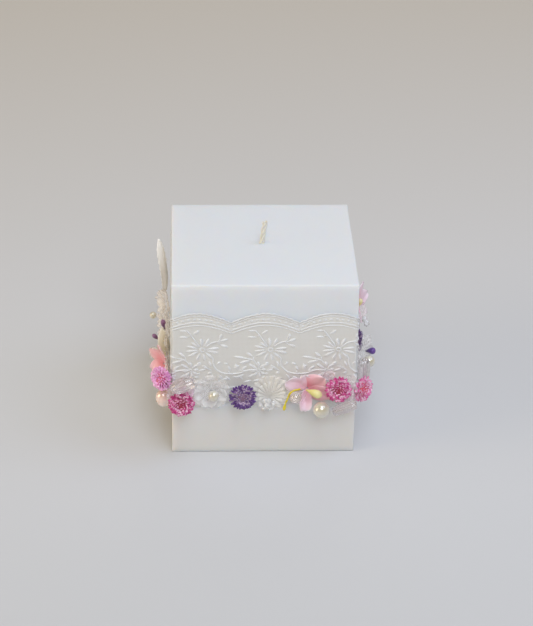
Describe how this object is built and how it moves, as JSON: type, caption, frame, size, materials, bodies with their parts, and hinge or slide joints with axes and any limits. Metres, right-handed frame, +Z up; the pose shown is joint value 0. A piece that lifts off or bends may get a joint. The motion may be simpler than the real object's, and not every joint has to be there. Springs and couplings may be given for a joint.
{
  "type": "unity candle",
  "caption": "Square wax wedding candle with a centre wick, a scalloped lace band and a glued garland of dried globe flowers, fabric blossoms, pearls and glass beads.",
  "frame": {"origin": "centre of the wax block's flat base, on the surface it stands on", "axes": "+Z up along the wick, -Y out of the decorated front face seen first, +X to the viewer's right of it"},
  "size_m": [0.1281, 0.1255, 0.1161],
  "materials": {
    "wax": "satin",
    "cotton": "matte",
    "steel": "satin",
    "lace": "matte",
    "glue": "gloss",
    "globe_pink": "matte",
    "globe_purple": "matte",
    "organza": "satin",
    "petal_pink": "satin",
    "petal_coral": "satin",
    "leaf_yellow": "satin",
    "stamen_yellow": "satin",
    "pearl": "gloss",
    "pearl_peach": "gloss",
    "glass_clear": "gloss",
    "glass_pink": "gloss"
  },
  "bodies": {
    "root": {"back_blossom": "petal_pink", "back_blossom_stamen": "stamen_yellow", "back_globe_flower_left": "globe_pink", "back_globe_flower_purple": "globe_purple", "back_globe_flower_right": "globe_pink", "back_glue_line": "glue", "back_organza_flower": "organza", "back_organza_pearl": "pearl", "back_oval_bead": "glass_pink", "back_pearl": "pearl", "back_rosette": "organza", "back_rosette_crystal": "glass_clear", "back_tube_bead": "glass_pink", "front_blossom": "petal_pink", "front_blossom_stamen": "stamen_yellow", "front_clear_bead": "glass_clear", "front_curled_stamen": "stamen_yellow", "front_globe_flower_left": "globe_pink", "front_globe_flower_purple": "globe_purple", "front_globe_flower_right": "globe_pink", "front_glue_line": "glue", "front_left_petals": "organza", "front_organza_flower": "organza", "front_organza_pearl": "pearl", "front_oval_bead": "glass_pink", "front_pearl": "pearl", "front_right_petals": "organza", "front_rosette": "organza", "front_rosette_crystal": "glass_clear", "front_tube_bead": "glass_pink", "lace_band": "lace", "left_bead": "glass_clear", "left_blossom": "petal_coral", "left_corner_flower": "organza", "left_corner_leaf": "organza", "left_globe_flower_pink": "globe_pink", "left_glue_line": "glue", "left_organza_flower": "organza", "left_organza_pearl": "pearl", "left_peach_bead": "pearl_peach", "left_purple_bud_far": "globe_purple", "left_purple_bud_near": "globe_purple", "left_yellow_leaf": "leaf_yellow", "right_blossom": "petal_pink", "right_blossom_stamen": "stamen_yellow", "right_crystal_far": "glass_clear", "right_crystal_near": "glass_clear", "right_globe_flower_pink": "globe_pink", "right_globe_flower_purple": "globe_purple", "right_glue_line": "glue", "right_organza_flower": "organza", "right_pearl": "pearl", "right_purple_bud": "globe_purple", "right_tube_bead": "glass_pink", "wax_body": "wax", "wick": "cotton", "wick_sustainer": "steel"}
  },
  "joints": []
}
